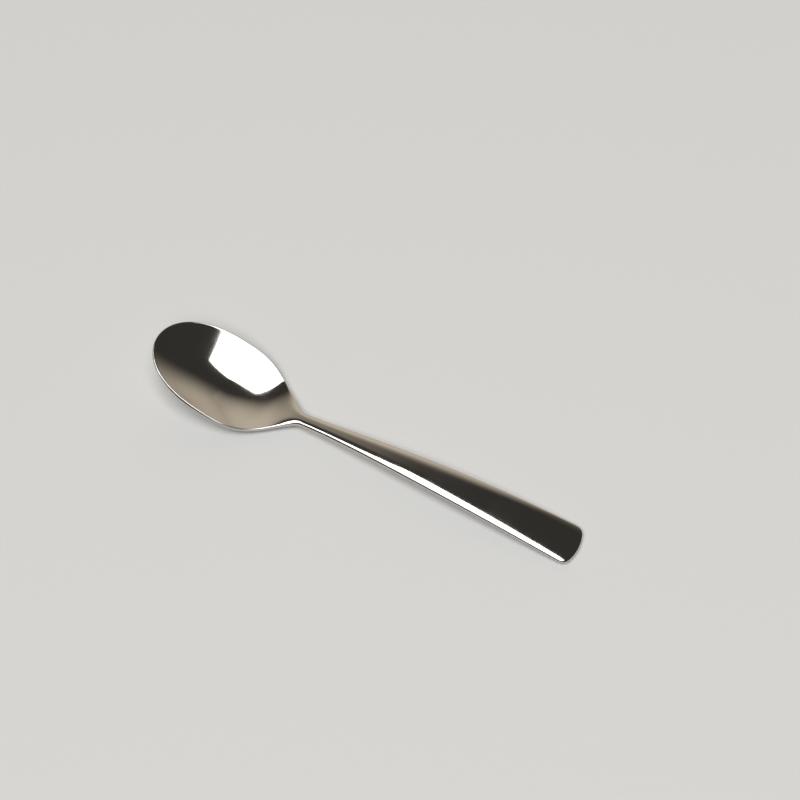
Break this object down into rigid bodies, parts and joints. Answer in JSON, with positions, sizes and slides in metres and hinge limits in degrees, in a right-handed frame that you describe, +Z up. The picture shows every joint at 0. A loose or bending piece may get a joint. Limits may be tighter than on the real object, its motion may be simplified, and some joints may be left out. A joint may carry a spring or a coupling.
{
  "type": "teaspoon",
  "caption": "Plain polished steel teaspoon: oval dished bowl pitched up at the tip, slim rounded neck and a flat handle that widens to a softly rounded square end.",
  "frame": {"origin": "on the table under the middle of the spoon's length and width", "axes": "+X from the bowl's tip towards the handle's end, +Z up out of the open bowl, the spoon lying on its bowl and its handle's end"},
  "size_m": [0.1401, 0.0282, 0.0141],
  "materials": {
    "polished_steel": "mirror polished stainless steel, faint hairline wear"
  },
  "bodies": {
    "root": {"bowl": "polished_steel", "neck": "polished_steel", "handle": "polished_steel"}
  },
  "joints": []
}
